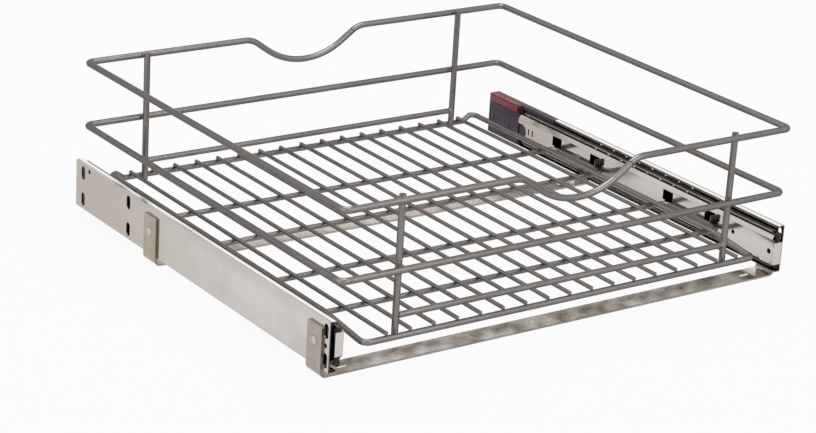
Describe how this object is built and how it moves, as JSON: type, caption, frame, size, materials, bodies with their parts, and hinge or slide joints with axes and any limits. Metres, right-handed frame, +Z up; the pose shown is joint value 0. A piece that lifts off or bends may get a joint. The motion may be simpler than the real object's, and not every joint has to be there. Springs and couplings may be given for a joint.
{
  "type": "pull out cabinet basket",
  "caption": "Shallow welded wire basket with hand dips in its rim, carried between full extension ball bearing slides joined by flat steel straps.",
  "frame": {"origin": "on the underside of the straps, below the middle of the basket", "axes": "+X across the front to the right as seen from the front, +Y from the front to the rear, +Z up; the basket pulls out along -Y"},
  "size_m": [0.508, 0.4446, 0.1524],
  "materials": {
    "painted_wire": "warm grey metallic powder coat, satin",
    "zinc_steel": "bright zinc plated rolled steel",
    "retainer_steel": "thin plain steel strip",
    "ball_steel": "polished steel",
    "strap_steel": "nickel plated steel, warm satin",
    "dark_plastic": "dark moulded plastic, low gloss",
    "red_plastic": "red moulded plastic, low gloss"
  },
  "bodies": {
    "cabinet_frame": {"left_cabinet_member": "zinc_steel", "right_cabinet_member": "zinc_steel", "left_soft_close_housing": "dark_plastic", "right_soft_close_housing": "dark_plastic", "left_soft_close_strip": "red_plastic", "right_soft_close_strip": "red_plastic", "front_strap": "strap_steel", "rear_strap": "strap_steel", "strap_rivets": "strap_steel"},
    "basket": {"left_drawer_member": "zinc_steel", "right_drawer_member": "zinc_steel", "left_front_buffer": "dark_plastic", "right_front_buffer": "dark_plastic", "top_rim": "painted_wire", "mid_rail": "painted_wire", "base_loop": "painted_wire", "front_low_rail": "painted_wire", "rear_low_rail": "painted_wire", "front_left_post": "painted_wire", "front_right_post": "painted_wire", "rear_left_post": "painted_wire", "rear_right_post": "painted_wire", "cross_wire_1": "painted_wire", "cross_wire_2": "painted_wire", "cross_wire_3": "painted_wire", "cross_wire_4": "painted_wire", "floor_wire_1": "painted_wire", "floor_wire_2": "painted_wire", "floor_wire_3": "painted_wire", "floor_wire_4": "painted_wire", "floor_wire_5": "painted_wire", "floor_wire_6": "painted_wire", "floor_wire_7": "painted_wire", "floor_wire_8": "painted_wire", "floor_wire_9": "painted_wire", "floor_wire_10": "painted_wire", "floor_wire_11": "painted_wire", "floor_wire_12": "painted_wire", "floor_wire_13": "painted_wire", "floor_wire_14": "painted_wire", "floor_wire_15": "painted_wire", "floor_wire_16": "painted_wire", "floor_wire_17": "painted_wire"},
    "left_intermediate": {"left_intermediate_member": "zinc_steel"},
    "left_outer_cage": {"left_outer_ball_retainer": "retainer_steel", "left_outer_balls": "ball_steel"},
    "left_inner_cage": {"left_inner_ball_retainer": "retainer_steel", "left_inner_balls": "ball_steel"},
    "left_catch": {"left_soft_close_catch": "dark_plastic"},
    "right_intermediate": {"right_intermediate_member": "zinc_steel"},
    "right_outer_cage": {"right_outer_ball_retainer": "retainer_steel", "right_outer_balls": "ball_steel"},
    "right_inner_cage": {"right_inner_ball_retainer": "retainer_steel", "right_inner_balls": "ball_steel"},
    "right_catch": {"right_soft_close_catch": "dark_plastic"}
  },
  "joints": [
    {"name": "pull_out", "type": "slide", "parent": "cabinet_frame", "child": "basket", "axis": [0, -1, 0], "range_m": [0, 0.43]},
    {"name": "left_intermediate_slide", "type": "slide", "parent": "cabinet_frame", "child": "left_intermediate", "axis": [0, -1, 0], "range_m": [0, 0.215]},
    {"name": "left_outer_cage_slide", "type": "slide", "parent": "cabinet_frame", "child": "left_outer_cage", "axis": [0, -1, 0], "range_m": [0, 0.1075]},
    {"name": "left_inner_cage_slide", "type": "slide", "parent": "cabinet_frame", "child": "left_inner_cage", "axis": [0, -1, 0], "range_m": [0, 0.3225]},
    {"name": "left_catch_slide", "type": "slide", "parent": "cabinet_frame", "child": "left_catch", "axis": [0, -1, 0], "range_m": [0, 0.04], "stiffness_N_per_m": 60},
    {"name": "right_intermediate_slide", "type": "slide", "parent": "cabinet_frame", "child": "right_intermediate", "axis": [0, -1, 0], "range_m": [0, 0.215]},
    {"name": "right_outer_cage_slide", "type": "slide", "parent": "cabinet_frame", "child": "right_outer_cage", "axis": [0, -1, 0], "range_m": [0, 0.1075]},
    {"name": "right_inner_cage_slide", "type": "slide", "parent": "cabinet_frame", "child": "right_inner_cage", "axis": [0, -1, 0], "range_m": [0, 0.3225]},
    {"name": "right_catch_slide", "type": "slide", "parent": "cabinet_frame", "child": "right_catch", "axis": [0, -1, 0], "range_m": [0, 0.04], "stiffness_N_per_m": 60}
  ],
  "couplings": [
    {"joint": "left_intermediate_slide", "follows": "pull_out", "ratio": 0.5},
    {"joint": "left_outer_cage_slide", "follows": "pull_out", "ratio": 0.25},
    {"joint": "left_inner_cage_slide", "follows": "pull_out", "ratio": 0.75},
    {"joint": "right_intermediate_slide", "follows": "pull_out", "ratio": 0.5},
    {"joint": "right_outer_cage_slide", "follows": "pull_out", "ratio": 0.25},
    {"joint": "right_inner_cage_slide", "follows": "pull_out", "ratio": 0.75}
  ]
}
